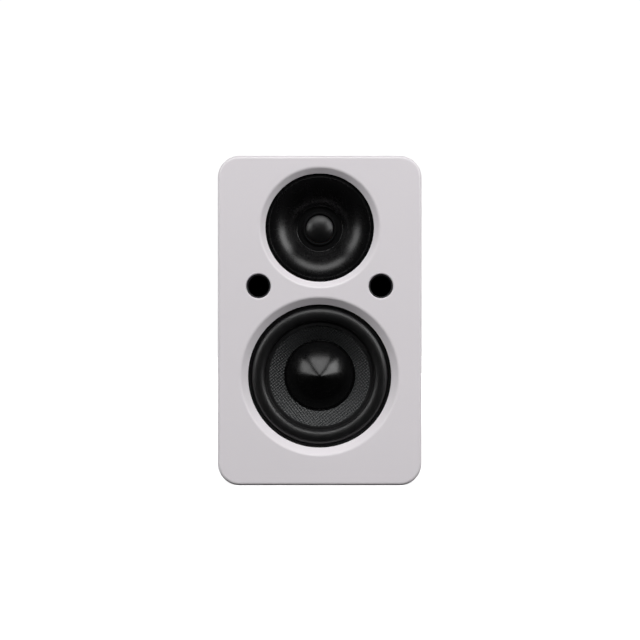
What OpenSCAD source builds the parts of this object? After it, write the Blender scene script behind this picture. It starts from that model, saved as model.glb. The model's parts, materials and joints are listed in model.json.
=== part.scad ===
// Two-way bookshelf loudspeaker, built from the separate pieces it comes apart into.
// Millimetres. +Z is up, the baffle faces -Y, +X is to the right of a listener in front.
// The origin is on the surface it stands on, below the middle of its box.

/* [Cabinet] */
// Outside width
body_w = 185; // [184:1:200]
// Outside height
body_h = 299; // [298:1:320]
// Depth from the baffle's face to the rear panel's face
body_d = 240; // [230:5:280]
// Thickness of the wrap's panels and of the rear panel
panel_t = 15; // [12:1:15]
// Thickness of the front baffle
baffle_t = 22; // [20:1:24]
// Outer radius of the four long corners
corner_r = 20; // [14:1:24]
// Radius of the baffle's front edge
edge_r = 3; // [1:0.5:4]
// Thickness of the damping pads
pad_t = 14; // [8:1:16]

/* [Driver dishes in the baffle] */
// Radius that rolls the face into each dish
lip_r = 4; // [2:0.5:5]
// Angle of the dish's slope from the face, degrees
dish_slope = 40; // [30:1:45]
// Straight wall below each dish, in front of the driver
lip_wall = 1.2; // [0.8:0.1:1.6]

/* [Woofer] */
// Height of its centre above the base
woofer_z = 99; // [98:1:101]
// Outer radius of its dish
woofer_dish_r = 73.2; // [72.6:0.2:73.6]
// Radius of its opening in the baffle
woofer_open_r = 65.2; // [64.8:0.2:66]
// Radius at which the cone meets the inner flange of the surround
cone_r = 47; // [45:0.5:47]
// Height of the surround's half-roll
roll_h = 4.8; // [4:0.2:6.4]
// Depth of the cone, from its outer edge to its neck
cone_depth = 30; // [28:1:30]
// Base radius of the dust cap
cap_r = 31.3; // [28:0.5:33]
// Height of the dust cap
cap_h = 21.5; // [12:0.5:22]
// Largest travel of the cone each way
woofer_travel = 4.5; // [2:0.5:5]
// Radius of the woofer's magnet
magnet_r = 40; // [38:1:45]
// Thickness of the woofer's magnet
magnet_t = 15; // [12:1:18]

/* [Tweeter] */
// Height of its centre above the base
tweeter_z = 234; // [233:1:235]
// Outer radius of its dish
tweeter_dish_r = 56; // [55:0.5:56]
// Radius of its opening in the baffle
tweeter_open_r = 49.4; // [49:0.2:50]
// Radius of the horn's throat
throat_r = 20.8; // [19:0.2:21]
// Depth of the horn
horn_depth = 14.5; // [12:0.5:14.5]
// Radius of the dome
dome_r = 12.7; // [12.7:0.1:12.8]
// Height of the dome
dome_h = 4; // [4:0.2:6]

/* [Reflex ports] */
// Distance between the two ports
port_spacing = 111; // [108:1:112]
// Height of the ports above the base
port_z = 180.7; // [180:0.1:182]
// Outer radius of a port tube
port_r = 10.95; // [10:0.05:11]
// Wall of a port tube
port_wall = 1.35; // [1:0.05:2]
// Length of a port tube
port_length = 94; // [60:1:100]

/* [Rear terminals] */
// Height of the terminals above the base
terminal_z = 72; // [70:1:85]
// Distance between the two binding posts
post_spacing = 19.05; // [19:0.05:19.1]
// Radius of the socket for a 4 mm plug
socket_r = 2.05; // [2.02:0.01:2.1]
// Depth of that socket
socket_depth = 13; // [10:1:13]
// Travel of each cap as it is unscrewed
cap_travel = 5; // [3:0.5:5]

/* [Hidden] */
$fn = 64;

// Cabinet
cup_flange_t = 2.5;
front_y = -(body_d + cup_flange_t) / 2;
rear_y = front_y + body_d;
wrap_d = body_d - baffle_t;
inner_w = body_w - 2 * panel_t;
inner_h = body_h - 2 * panel_t;
over = 5;
batten = 12;
glue = 0.05;
white = [0.9, 0.88, 0.9];
black = [0.06, 0.06, 0.07];
steel = [0.7, 0.7, 0.72];
brass = [0.8, 0.65, 0.3];

// Drivers: each one's own frame has its axis on Z, and z = 0 on its seat behind the dish
function dish_depth(outer_r, inner_r) =
    lip_r * (1 - cos(dish_slope)) + (outer_r - lip_r * sin(dish_slope) - inner_r) * tan(dish_slope);
woofer_seat = dish_depth(woofer_dish_r, woofer_open_r) + lip_wall;
tweeter_seat = dish_depth(tweeter_dish_r, tweeter_open_r) + lip_wall;
seat_clearance = 0.3;

// Woofer, all heights from its seat
woofer_pocket_r = woofer_dish_r + seat_clearance;
gasket_t = 2;
surround_t = 0.6;
roll_outer_r = 62.5;
roll_inner_r = 49.3;
roll_mid_r = (roll_outer_r + roll_inner_r) / 2;
roll_r = (roll_outer_r - roll_inner_r) / 2;
rim_z = -gasket_t - surround_t;
rim_t = 3;
cone_t = 0.8;
neck_r = 13.2;
neck_z = rim_z - cone_depth;
former_r = 13.15;
former_t = 0.25;
coil_t = 0.6;
coil_h = 10;
ledge_z = neck_z - woofer_travel - 1.5;
motor_z = ledge_z - 9.4;
plate_t = 5;
pole_r = 12.5;
coil_gap = 0.4;
vent_r = 4;
woofer_back_z = -(baffle_t - woofer_seat);
lug_t = 3;
ear_angles_woofer = [45, 135, 225, 315];
woofer_ear_r = 82;

// Tweeter, all heights from its seat
tweeter_flange_r = 53;
tweeter_pocket_r = tweeter_flange_r + seat_clearance;
face_z = -0.6;
mouth_r = 45.6;
mouth_z = face_z - 0.2;
throat_z = mouth_z - horn_depth;
diaphragm_z = throat_z - 1.5;
tweeter_flange_t = 0.3;
ring_z = diaphragm_z - tweeter_flange_t;
ring_t = 2.5;
tweeter_motor_z = ring_z - ring_t;
tweeter_plate_t = 3;
tweeter_former_r = 12.4;
tweeter_former_t = 0.15;
tweeter_coil_t = 0.3;
tweeter_pole_r = tweeter_former_r - tweeter_former_t - coil_gap;
tweeter_gap_r = tweeter_former_r + tweeter_coil_t + coil_gap;
tweeter_tube_r = 49.5;
tweeter_back_z = -(baffle_t - tweeter_seat);
ear_angles_tweeter = [30, 150, 210, 330];
tweeter_ear_r = 60;
motor_screw_r = 30.4;
tweeter_plate_r = 33;
tweeter_magnet_r = 27.5;
tweeter_magnet_t = 8.4;

// Terminals: their own frame has +Z pointing out of the rear panel, and z = 0 on its face
cup_w = 61.6;
cup_wall = 2.5;
cup_floor_z = -23.5;
cup_floor_t = 3;
post_r = 3;
post_end_z = -3.5;
base_h = 3;
base_r = 6.8;
washer_z = cup_floor_z + base_h + 0.1;
washer_t = 1.2;
insert_z = washer_z + washer_t + 0.1;
insert_end_z = -7;
insert_r = 4.5;
cap_end_z = cup_flange_t - cap_travel;
nut_t = 3;
shaft_run = 0.05;

// Crossover, on the bottom panel behind the woofer
board = [110, 84, 1.6];
board_y = 38;
spacer_h = 8;
board_z = panel_t + spacer_h;
board_top = board_z + board[2];
wire_r = 1.1;

// ---- shared shapes ----

module at_front(height) {
    translate([0, front_y, height])
        rotate([90, 0, 0])
            children();
}

module at_rear(height) {
    translate([0, rear_y, height])
        rotate([-90, 0, 0])
            children();
}

module at_woofer() {
    at_front(woofer_z)
        translate([0, 0, -woofer_seat])
            children();
}

module at_tweeter() {
    at_front(tweeter_z)
        translate([0, 0, -tweeter_seat])
            children();
}

module ring(outer_r, inner_r, top_z, height) {
    translate([0, 0, top_z - height])
        difference() {
            cylinder(r = outer_r, h = height);
            translate([0, 0, -1])
                cylinder(r = inner_r, h = height + 2);
        }
}

module rounded_rect(w, h, r) {
    square([w - 2 * r, h], center = true);
    square([w, h - 2 * r], center = true);
    for (sx = [-1, 1], sy = [-1, 1])
        translate([sx * (w / 2 - r), sy * (h / 2 - r)])
            circle(r = r);
}

function ellipse_arc(cx, cy, rx, ry, a0, a1, steps) =
    [for (i = [0:steps]) let (a = a0 + (a1 - a0) * i / steps) [cx + rx * cos(a), cy + ry * sin(a)]];
function arc(cx, cy, r, a0, a1, steps) = ellipse_arc(cx, cy, r, r, a0, a1, steps);
function lowered(points, drop) =
    [for (i = [len(points) - 1:-1:0]) [points[i][0], points[i][1] - drop]];

// Cross-head screw with its head's underside at z = 0 and its point at -length
module screw(shank_r, length, head_r, head_h, countersunk = false) {
    tip = 1.5 * shank_r;
    difference() {
        union() {
            if (countersunk)
                translate([0, 0, -head_h])
                    cylinder(r1 = shank_r, r2 = head_r, h = head_h);
            else
                cylinder(r = head_r, h = head_h);
            translate([0, 0, tip - length])
                cylinder(r = shank_r, h = length - tip);
            translate([0, 0, -length])
                cylinder(r1 = 0.3, r2 = shank_r, h = tip);
        }
        for (turn = [0, 90])
            rotate([0, 0, turn])
                translate([-0.62 * head_r, -0.4, (countersunk ? 0 : head_h) - 0.45 * head_h])
                    cube([1.24 * head_r, 0.8, head_h]);
    }
}

// Round tube swept along points, with its sides set out from the X direction
function unit(v) = v / norm(v);
function tangent(p, i) = unit(p[min(i + 1, len(p) - 1)] - p[max(i - 1, 0)]);
function blend_point(a, b, c, d, t) =
    0.5 * (2 * b + (c - a) * t + (2 * a - 5 * b + 4 * c - d) * t * t
        + (3 * b - a - 3 * c + d) * t * t * t);
function smooth_route(p, n) = let (last = len(p) - 1) concat(
    [for (i = [0:last - 1]) for (k = [0:n - 1])
        blend_point(p[max(i - 1, 0)], p[i], p[i + 1], p[min(i + 2, last)], k / n)],
    [p[last]]);
function tube_ring(centre, t, r, sides) = let (side = unit(cross(t, [1, 0, 0])), up = cross(t, side))
    [for (j = [0:sides - 1]) let (a = 360 * j / sides) centre + r * (cos(a) * side + sin(a) * up)];

module wire(points, r, sides = 8, per_span = 4) {
    p = smooth_route(points, per_span);
    last = len(p) - 1;
    polyhedron(
        points = [for (i = [0:last]) each tube_ring(p[i], tangent(p, i), r, sides)],
        faces = concat(
            [[for (j = [0:sides - 1]) j]],
            [[for (j = [sides - 1:-1:0]) last * sides + j]],
            [for (i = [0:last - 1]) for (j = [0:sides - 1]) let (k = (j + 1) % sides)
                [i * sides + j, (i + 1) * sides + j, (i + 1) * sides + k, i * sides + k]]));
}

// ---- cabinet ----

// Plate with four round corners and a rounded front edge, its face at z = 0
module baffle_blank() {
    straight_w = body_w - 2 * corner_r;
    straight_h = body_h - 2 * corner_r;
    rotate([90, 0, 90])
        linear_extrude(straight_w, center = true)
            edge_section(body_h / 2);
    rotate([90, 0, 0])
        linear_extrude(straight_h, center = true)
            edge_section(body_w / 2);
    for (q = [0:3])
        translate([(q == 0 || q == 3 ? 1 : -1) * straight_w / 2, (q < 2 ? 1 : -1) * straight_h / 2, 0])
            rotate([0, 0, 90 * q])
                rotate_extrude(angle = 90)
                    intersection() {
                        edge_section(corner_r);
                        translate([0, -2 * baffle_t])
                            square([2 * corner_r, 3 * baffle_t]);
                    }
}

// Section through the baffle, reaching half_w each side of the middle
module edge_section(half_w) {
    translate([-half_w, -baffle_t])
        square([2 * half_w, baffle_t - edge_r]);
    translate([-half_w + edge_r, -edge_r - 1])
        square([2 * (half_w - edge_r), edge_r + 1]);
    for (side = [-1, 1])
        translate([side * (half_w - edge_r), -edge_r])
            circle(r = edge_r);
}

// What is cut from the baffle for one driver: dish, opening, and the pocket behind
module dish_cut(outer_r, inner_r, pocket_r) {
    seat = dish_depth(outer_r, inner_r) + lip_wall;
    rotate_extrude($fn = 128)
        polygon(concat(
            [[0, 1], [outer_r, 1]],
            arc(outer_r, -lip_r, lip_r, 90, 90 + dish_slope, 8),
            [[inner_r, lip_wall - seat], [inner_r, -seat], [pocket_r, -seat],
                [pocket_r, -baffle_t - 1], [0, -baffle_t - 1]]));
}

module port_cut() {
    round_r = 1.2;
    rotate_extrude()
        polygon(concat(
            [[0, 1], [port_r + glue + round_r, 1]],
            arc(port_r + glue + round_r, -round_r, round_r, 90, 180, 6),
            [[port_r + glue, -baffle_t - 1], [0, -baffle_t - 1]]));
}

module front_baffle() {
    color(white)
        difference() {
            at_front(body_h / 2)
                baffle_blank();
            at_front(woofer_z)
                dish_cut(woofer_dish_r, woofer_open_r, woofer_pocket_r);
            at_front(tweeter_z)
                dish_cut(tweeter_dish_r, tweeter_open_r, tweeter_pocket_r);
            for (side = [-1, 1])
                translate([side * port_spacing / 2, 0, 0])
                    at_front(port_z)
                        port_cut();
            at_woofer()
                for (a = ear_angles_woofer)
                    screw_pilot(a, woofer_ear_r, woofer_back_z);
            at_tweeter()
                for (a = ear_angles_tweeter)
                    screw_pilot(a, tweeter_ear_r, tweeter_back_z);
        }
}

pilot_r = 1.85;
pilot_depth = 13;
module screw_pilot(angle, radius, back_z) {
    rotate([0, 0, angle])
        translate([radius, 0, back_z - 1])
            cylinder(r = pilot_r, h = pilot_depth + 1);
}

// Section of the whole wrap, kept only inside one panel's mitres
module wrap_panel(mitres) {
    color(white)
        translate([0, rear_y, body_h / 2])
            rotate([90, 0, 0])
                linear_extrude(wrap_d)
                    intersection() {
                        difference() {
                            rounded_rect(body_w, body_h, corner_r);
                            square([inner_w, inner_h], center = true);
                        }
                        polygon(mitres);
                    }
}

outer_x = body_w / 2 + over;
outer_z = body_h / 2 + over;
inner_x = inner_w / 2;
inner_z = inner_h / 2;

module side_panel(side) {
    wrap_panel([[side * outer_x, -outer_z], [side * inner_x, -inner_z],
        [side * inner_x, inner_z], [side * outer_x, outer_z]]);
}

module end_panel(side) {
    wrap_panel([[-outer_x, side * outer_z], [-inner_x, side * inner_z],
        [inner_x, side * inner_z], [outer_x, side * outer_z]]);
}

module left_panel() side_panel(-1);
module right_panel() side_panel(1);
module top_panel() end_panel(1);
module bottom_panel() end_panel(-1);

rear_screw_shank = 1.9;
rear_screw_length = 24;
// Places of the rear panel's screws, around its edge
module rear_screw_places() {
    edge_x = inner_w / 2 - batten / 2;
    edge_z = inner_h / 2 - batten / 2;
    for (sx = [-1, 1], sz = [-1, 0, 1])
        translate([sx * edge_x, sz * edge_z, 0])
            children();
    for (sz = [-1, 1])
        translate([0, sz * edge_z, 0])
            children();
}

module rear_panel() {
    color(black)
        difference() {
            translate([-inner_w / 2, rear_y - panel_t, panel_t])
                cube([inner_w, panel_t, inner_h]);
            at_rear(terminal_z)
                translate([0, 0, -panel_t / 2])
                    cube([cup_w, cup_w, panel_t + 2], center = true);
            at_rear(body_h / 2)
                rear_screw_places() {
                    translate([0, 0, -panel_t - 1])
                        cylinder(r = rear_screw_shank + 0.1, h = panel_t + 2);
                    translate([0, 0, -2.6])
                        cylinder(r1 = rear_screw_shank + 0.1, r2 = 4.1, h = 2.6);
                }
            at_rear(terminal_z)
                cup_screw_places()
                    translate([0, 0, -11])
                        cylinder(r = 1.65, h = 12);
        }
}

module rear_battens() {
    color("tan")
        difference() {
            translate([-inner_w / 2, rear_y - panel_t - batten, panel_t])
                cube([inner_w, batten, inner_h]);
            translate([-inner_w / 2 + batten, rear_y - panel_t - batten - 1, panel_t + batten])
                cube([inner_w - 2 * batten, batten + 2, inner_h - 2 * batten]);
            at_rear(body_h / 2)
                rear_screw_places()
                    translate([0, 0, -rear_screw_length - 1])
                        cylinder(r = rear_screw_shank + 0.05, h = rear_screw_length);
        }
}

module rear_panel_screws() {
    color(black)
        at_rear(body_h / 2)
            rear_screw_places()
                screw(rear_screw_shank, rear_screw_length, 4, 2.5, countersunk = true);
}

// Shelf with a window, between the side panels and in front of the battens
module shelf_brace() {
    brace_t = 12;
    brace_z = 160;
    brace_y = -12;
    rail = 22;
    depth = rear_y - panel_t - batten - brace_y;
    color("tan")
        difference() {
            translate([-inner_w / 2, brace_y, brace_z])
                cube([inner_w, depth, brace_t]);
            translate([0, brace_y + depth / 2, brace_z - 1])
                linear_extrude(brace_t + 2)
                    rounded_rect(inner_w - 2 * rail, depth - 2 * rail, 10);
        }
}

// Port tube with a rounded mouth and a collar behind the baffle
module port_tube(side) {
    front_z = -1.4;
    collar_r = 14;
    collar_t = 2.5;
    mouth = 0.9;
    inner_r = port_r - port_wall;
    color(black)
        translate([side * port_spacing / 2, 0, 0])
            at_front(port_z)
                rotate_extrude()
                    polygon(concat(
                        [[port_r, front_z]],
                        arc(inner_r + mouth, front_z - mouth, mouth, 90, 180, 6),
                        [[inner_r, front_z - port_length], [port_r, front_z - port_length],
                            [port_r, -baffle_t - collar_t], [collar_r, -baffle_t - collar_t],
                            [collar_r, -baffle_t], [port_r, -baffle_t]]));
}

module port_tube_left() port_tube(-1);
module port_tube_right() port_tube(1);

// Pads of felted polyester on the side and top panels
module damping_pads() {
    pad_y = -8;
    pad_d = 92;
    color("dimgray") {
        for (side = [-1, 1])
            translate([side * (inner_w - pad_t) / 2 - pad_t / 2, pad_y, 55])
                cube([pad_t, pad_d, 98]);
        translate([-55, pad_y, body_h - panel_t - pad_t])
            cube([110, pad_d, pad_t]);
    }
}

// ---- woofer ----

// Screw lug on a driver's frame, flat against the back of the baffle
module ear(angle, radius, start_r, width, hole_r, back_z) {
    rotate([0, 0, angle])
        translate([0, 0, back_z - lug_t])
            difference() {
                union() {
                    translate([start_r, -width / 2, 0])
                        cube([radius - start_r, width, lug_t]);
                    translate([radius, 0, 0])
                        cylinder(r = width / 2, h = lug_t);
                }
                translate([radius, 0, -1])
                    cylinder(r = hole_r, h = lug_t + 2);
            }
}

module ear_screws(angles, radius, back_z) {
    for (a = angles)
        rotate([0, 0, a])
            translate([radius, 0, back_z - lug_t])
                rotate([180, 0, 0])
                    screw(1.8, lug_t + pilot_depth - 1, 3.6, 2.4);
}

spoke_count = 6;
window_angle = 40;
window_in_r = 45;
window_w = 21;
wall_in_r = woofer_dish_r - 3;
cup_out_r = 36.5;
cup_in_r = 33.5;
module woofer_frame() {
    shell_top = woofer_back_z - 1;
    color("dimgray")
        at_woofer() {
            difference() {
                rotate_extrude($fn = 128)
                    polygon([
                        [roll_outer_r + 0.5, rim_z], [woofer_dish_r, rim_z],
                        [woofer_dish_r, woofer_back_z - lug_t - 0.8], [cup_out_r + 4, ledge_z - lug_t],
                        [cup_out_r, ledge_z - lug_t], [cup_out_r, motor_z], [16, motor_z],
                        [16, motor_z + 2], [cup_in_r, motor_z + 2], [cup_in_r, ledge_z],
                        [cup_in_r + 5, ledge_z], [wall_in_r, shell_top],
                        [wall_in_r, rim_z - rim_t], [roll_outer_r + 0.5, rim_z - rim_t]]);
                for (i = [0:spoke_count - 1])
                    rotate([0, 0, 70 + i * 360 / spoke_count])
                        rotate_extrude(angle = window_angle)
                            translate([window_in_r, ledge_z - 10])
                                square([window_w, 35]);
            }
            for (a = ear_angles_woofer)
                ear(a, woofer_ear_r, wall_in_r + 1.4, 14, 2, woofer_back_z);
        }
}

module woofer_gasket() {
    color(black)
        at_woofer()
            ring(woofer_dish_r, woofer_open_r + 1, 0, gasket_t);
}

// Half-roll rubber surround with a flat flange on each side
module woofer_surround() {
    top = -gasket_t;
    flange_r = woofer_dish_r - 1;
    color(black)
        at_woofer()
            rotate_extrude($fn = 128)
                polygon(concat(
                    [[flange_r, top - surround_t], [flange_r, top]],
                    ellipse_arc(roll_mid_r, top, roll_r, roll_h, 0, 180, 24),
                    [[cone_r - 1, top], [cone_r - 1, rim_z]],
                    [[roll_inner_r + surround_t, rim_z]],
                    ellipse_arc(roll_mid_r, top, roll_r - surround_t, roll_h - surround_t, 180, 0, 24),
                    [[roll_outer_r - surround_t, rim_z]]));
}

function cone_z(r) = rim_z - cone_depth * pow((cone_r - r) / (cone_r - neck_r), 1.08);
module woofer_cone() {
    steps = 16;
    lip = [[roll_inner_r - 0.3, rim_z]];
    slope = [for (i = [0:steps]) let (r = cone_r + (neck_r - cone_r) * i / steps) [r, cone_z(r)]];
    color([0.15, 0.15, 0.16])
        at_woofer()
            rotate_extrude($fn = 128)
                polygon(concat(lip, slope, lowered(slope, cone_t), lowered(lip, cone_t)));
}

// Pointed cap: its slope grows from the tip outwards
function cap_drop(r) = 0.68 * r / cap_r + 0.32 * pow(r / cap_r, 3.5);
module woofer_dust_cap() {
    steps = 16;
    cap_t = 0.7;
    base_z = cone_z(cap_r) + glue;
    outside = [for (i = [0:steps]) let (r = cap_r * i / steps) [r, base_z + cap_h * (1 - cap_drop(r))]];
    inner_r = cap_r - cap_t;
    inside = [for (i = [steps:-1:0]) let (r = inner_r * i / steps)
        [r, base_z + (cap_h - cap_t) * (1 - cap_drop(r * cap_r / inner_r))]];
    color(black)
        at_woofer()
            rotate_extrude($fn = 128)
                polygon(concat(outside, inside));
}

coil_mid_z = motor_z - plate_t / 2;
module woofer_coil_former() {
    former_top = neck_z + 2.5;
    color("peru")
        at_woofer()
            ring(former_r, former_r - former_t, former_top, former_top - coil_mid_z + coil_h / 2);
}

module woofer_voice_coil() {
    color("chocolate")
        at_woofer()
            ring(former_r + coil_t, former_r, coil_mid_z + coil_h / 2, coil_h);
}

// Corrugated cloth spider, from the coil former to the frame's ledge
module woofer_spider() {
    spider_t = 0.6;
    flange_in_r = cup_in_r - 0.1;
    waves = 4;
    steps = 32;
    height = 1.1;
    first_r = neck_r;
    rise = ledge_z + spider_t;
    corrugation = [for (i = [0:steps]) let (f = i / steps)
        [first_r + f * (flange_in_r - first_r), rise + height * sin(360 * waves * f)]];
    top = concat(corrugation, [[cup_in_r + 4.5, rise]]);
    color([0.75, 0.6, 0.25])
        at_woofer()
            rotate_extrude()
                polygon(concat(top, lowered(top, spider_t)));
}

module woofer_top_plate() {
    color(steel)
        at_woofer()
            ring(34, former_r + coil_t + coil_gap, motor_z, plate_t);
}

module woofer_magnet() {
    color([0.2, 0.2, 0.22])
        at_woofer()
            ring(magnet_r, 22, motor_z - plate_t, magnet_t);
}

// Back plate and pole piece in one forging, with a vent through the pole
module woofer_pole_yoke() {
    yoke_z = motor_z - plate_t - magnet_t;
    yoke_t = 5.5;
    color(steel)
        at_woofer()
            difference() {
                union() {
                    translate([0, 0, yoke_z - yoke_t])
                        cylinder(r = magnet_r - 4, h = yoke_t);
                    translate([0, 0, yoke_z - yoke_t])
                        cylinder(r = pole_r, h = motor_z - yoke_z + yoke_t);
                }
                translate([0, 0, yoke_z - yoke_t - 1])
                    cylinder(r = vent_r, h = motor_z - yoke_z + yoke_t + 2);
            }
}

// Fibre strip with two solder tags, below the frame's cup
strip_z = motor_z + 3.6;
strip_t = 1.6;
tag_x = 4.5;
tag_t = 0.8;
tag_end_r = 57;
module woofer_terminals() {
    at_woofer()
        difference() {
            union() {
                color("saddlebrown")
                    translate([-9, -51, strip_z - strip_t])
                        cube([18, 18, strip_t]);
                color(brass)
                    for (side = [-1, 1])
                        translate([side * tag_x - 1.6, -tag_end_r, strip_z - strip_t - tag_t])
                            cube([3.2, 14, tag_t]);
            }
            translate([0, 0, strip_z - 5])
                cylinder(r = cup_out_r, h = 10);
        }
}

// Two braided leads from the strip, through a window of the frame, to the back of the cone
lead_r = 0.6;
module woofer_tinsel_leads() {
    color("orange")
        at_woofer()
            for (side = [-1, 1])
                wire([[side * tag_x, -48, strip_z], [side * tag_x, -48, strip_z + 5],
                    [side * tag_x, -44, strip_z + 13], [side * tag_x, -32, ledge_z + 6],
                    [side * tag_x, -21, ledge_z + 5], [side * tag_x, -18, cone_z(18) - 2]],
                    lead_r);
}

// The same screw holds both drivers
module driver_screws() {
    color(steel) {
        at_woofer()
            ear_screws(ear_angles_woofer, woofer_ear_r, woofer_back_z);
        at_tweeter()
            ear_screws(ear_angles_tweeter, tweeter_ear_r, tweeter_back_z);
    }
}

// ---- tweeter ----

function horn_z(r) = mouth_z - horn_depth * pow((mouth_r - r) / (mouth_r - throat_r), 1.9);
module tweeter_waveguide() {
    steps = 20;
    bead_r = 0.45;
    horn = [for (i = [0:steps]) let (r = mouth_r + (throat_r - mouth_r) * i / steps) [r, horn_z(r)]];
    wall_r = tweeter_tube_r - 3;
    color(black)
        at_tweeter() {
            difference() {
                rotate_extrude($fn = 128)
                    polygon(concat(
                        [[tweeter_flange_r, face_z]],
                        arc(mouth_r + bead_r, face_z, bead_r, 0, 180, 8),
                        horn,
                        [[throat_r, diaphragm_z], [tweeter_plate_r, diaphragm_z],
                            [tweeter_plate_r, face_z - 8.6], [wall_r - 6, face_z - 5],
                            [wall_r, face_z - 3.6], [wall_r, tweeter_back_z - lug_t],
                            [tweeter_tube_r, tweeter_back_z - lug_t],
                            [tweeter_tube_r, face_z - 3.6], [tweeter_flange_r, face_z - 3.6]]));
                motor_screw_places()
                    translate([0, 0, diaphragm_z - 1])
                        cylinder(r = 1.45, h = 6);
            }
            for (a = ear_angles_tweeter)
                ear(a, tweeter_ear_r, tweeter_tube_r - 1.5, 12, 2, tweeter_back_z);
        }
}

module motor_screw_places() {
    for (a = [90, 210, 330])
        rotate([0, 0, a])
            translate([motor_screw_r, 0, 0])
                children();
}

module tweeter_gasket() {
    color(black)
        at_tweeter()
            ring(tweeter_flange_r - 0.2, tweeter_open_r + 0.6, 0, -face_z);
}

dome_foot_r = dome_r + 0.2;
small_roll_r = 1.6;
module tweeter_surround() {
    thin = tweeter_flange_t;
    roll_mid = dome_foot_r + small_roll_r;
    roll_out = roll_mid + small_roll_r;
    color(black)
        at_tweeter()
            rotate_extrude()
                polygon(concat(
                    [[24, ring_z], [24, diaphragm_z]],
                    arc(roll_mid, diaphragm_z, small_roll_r, 0, 180, 12),
                    [[dome_foot_r, ring_z], [dome_foot_r + thin, ring_z]],
                    arc(roll_mid, diaphragm_z, small_roll_r - thin, 180, 0, 12),
                    [[roll_out - thin, ring_z]]));
}

// Soft dome: a spherical cap on a short skirt around the coil former
module tweeter_dome() {
    dome_t = 0.35;
    ball_r = (dome_r * dome_r + dome_h * dome_h) / (2 * dome_h);
    foot_z = ring_z + 0.4;
    centre_z = foot_z + dome_h - ball_r;
    steps = 14;
    edge = asin(dome_r / ball_r);
    outside = [for (i = [0:steps]) let (a = edge * i / steps)
        [ball_r * sin(a), centre_z + ball_r * cos(a)]];
    inner_ball = ball_r - dome_t;
    inner_r = tweeter_former_r + tweeter_coil_t;
    inner_edge = asin(inner_r / inner_ball) - 0.8;
    inside = [for (i = [steps:-1:0]) let (a = inner_edge * i / steps)
        [inner_ball * sin(a), centre_z + inner_ball * cos(a)]];
    color([0.12, 0.12, 0.12])
        at_tweeter()
            rotate_extrude()
                polygon(concat(outside, inside));
}

tweeter_coil_h = 2.6;
tweeter_coil_z = tweeter_motor_z - tweeter_plate_t / 2 + tweeter_coil_h / 2;
module tweeter_coil_former() {
    top = ring_z + 0.15;
    bottom = tweeter_coil_z - tweeter_coil_h - 0.6;
    color("silver")
        at_tweeter()
            ring(tweeter_former_r, tweeter_former_r - tweeter_former_t, top, top - bottom);
}

module tweeter_voice_coil() {
    color("chocolate")
        at_tweeter()
            ring(tweeter_former_r + tweeter_coil_t, tweeter_former_r, tweeter_coil_z, tweeter_coil_h);
}

module tweeter_mounting_ring() {
    color([0.2, 0.2, 0.22])
        at_tweeter()
            difference() {
                ring(tweeter_plate_r, dome_foot_r + 2 * small_roll_r, ring_z, ring_t);
                motor_screw_places()
                    translate([0, 0, ring_z - ring_t - 1])
                        cylinder(r = 1.6, h = ring_t + 2);
            }
}

module tweeter_top_plate() {
    color(steel)
        at_tweeter()
            difference() {
                ring(tweeter_plate_r, tweeter_gap_r, tweeter_motor_z, tweeter_plate_t);
                motor_screw_places()
                    translate([0, 0, tweeter_motor_z - tweeter_plate_t - 1])
                        cylinder(r = 1.6, h = tweeter_plate_t + 2);
            }
}

module tweeter_magnet() {
    color([0.2, 0.2, 0.22])
        at_tweeter()
            ring(tweeter_magnet_r, 17, tweeter_motor_z - tweeter_plate_t, tweeter_magnet_t);
}

tweeter_yoke_z = tweeter_motor_z - tweeter_plate_t - tweeter_magnet_t;
tweeter_yoke_t = 4;
module tweeter_pole_yoke() {
    full = tweeter_motor_z - tweeter_yoke_z + tweeter_yoke_t;
    color(steel)
        at_tweeter()
            difference() {
                translate([0, 0, tweeter_yoke_z - tweeter_yoke_t])
                    union() {
                        cylinder(r = tweeter_magnet_r - 1, h = tweeter_yoke_t);
                        cylinder(r = tweeter_pole_r, h = full);
                    }
                translate([0, 0, tweeter_yoke_z - tweeter_yoke_t - 1])
                    cylinder(r = vent_r, h = full + 2);
            }
}

// Rear chamber behind the vented pole
module tweeter_rear_cup() {
    cup_r = 22;
    cup_h = 13;
    wall = 2;
    color(black)
        at_tweeter()
            translate([0, 0, tweeter_yoke_z - tweeter_yoke_t - cup_h])
                difference() {
                    cylinder(r = cup_r, h = cup_h);
                    translate([0, 0, wall])
                        cylinder(r = cup_r - wall, h = cup_h);
                }
}

tweeter_tag_end = 41;
tweeter_tag_mid = ring_z - ring_t / 2;
module tweeter_terminals() {
    tag_z = tweeter_tag_mid - tag_t / 2;
    color(brass)
        at_tweeter()
            difference() {
                for (side = [-1, 1])
                    translate([side * tag_x - 1.4, -tweeter_tag_end, tag_z])
                        cube([2.8, 10, tag_t]);
                translate([0, 0, tag_z - 2])
                    cylinder(r = tweeter_plate_r, h = 5);
            }
}

module tweeter_motor_screws() {
    color(steel)
        at_tweeter()
            motor_screw_places()
                translate([0, 0, tweeter_motor_z - tweeter_plate_t])
                    rotate([180, 0, 0])
                        screw(1.4, tweeter_plate_t + ring_t + 4, 2.4, 1.8);
}

// ---- crossover ----

module board_hole_places() {
    for (sx = [-1, 1], sy = [-1, 1])
        translate([sx * (board[0] / 2 - 6), board_y + sy * (board[1] / 2 - 6), 0])
            children();
}

module crossover_board() {
    color("darkgreen")
        difference() {
            translate([-board[0] / 2, board_y - board[1] / 2, board_z])
                cube(board);
            board_hole_places()
                translate([0, 0, board_z - 1])
                    cylinder(r = 1.7, h = board[2] + 2);
        }
}

module board_spacers() {
    color("ivory")
        board_hole_places()
            translate([0, 0, panel_t])
                difference() {
                    cylinder(r = 3.5, h = spacer_h);
                    translate([0, 0, -1])
                        cylinder(r = 1.55, h = spacer_h + 2);
                }
}

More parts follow.
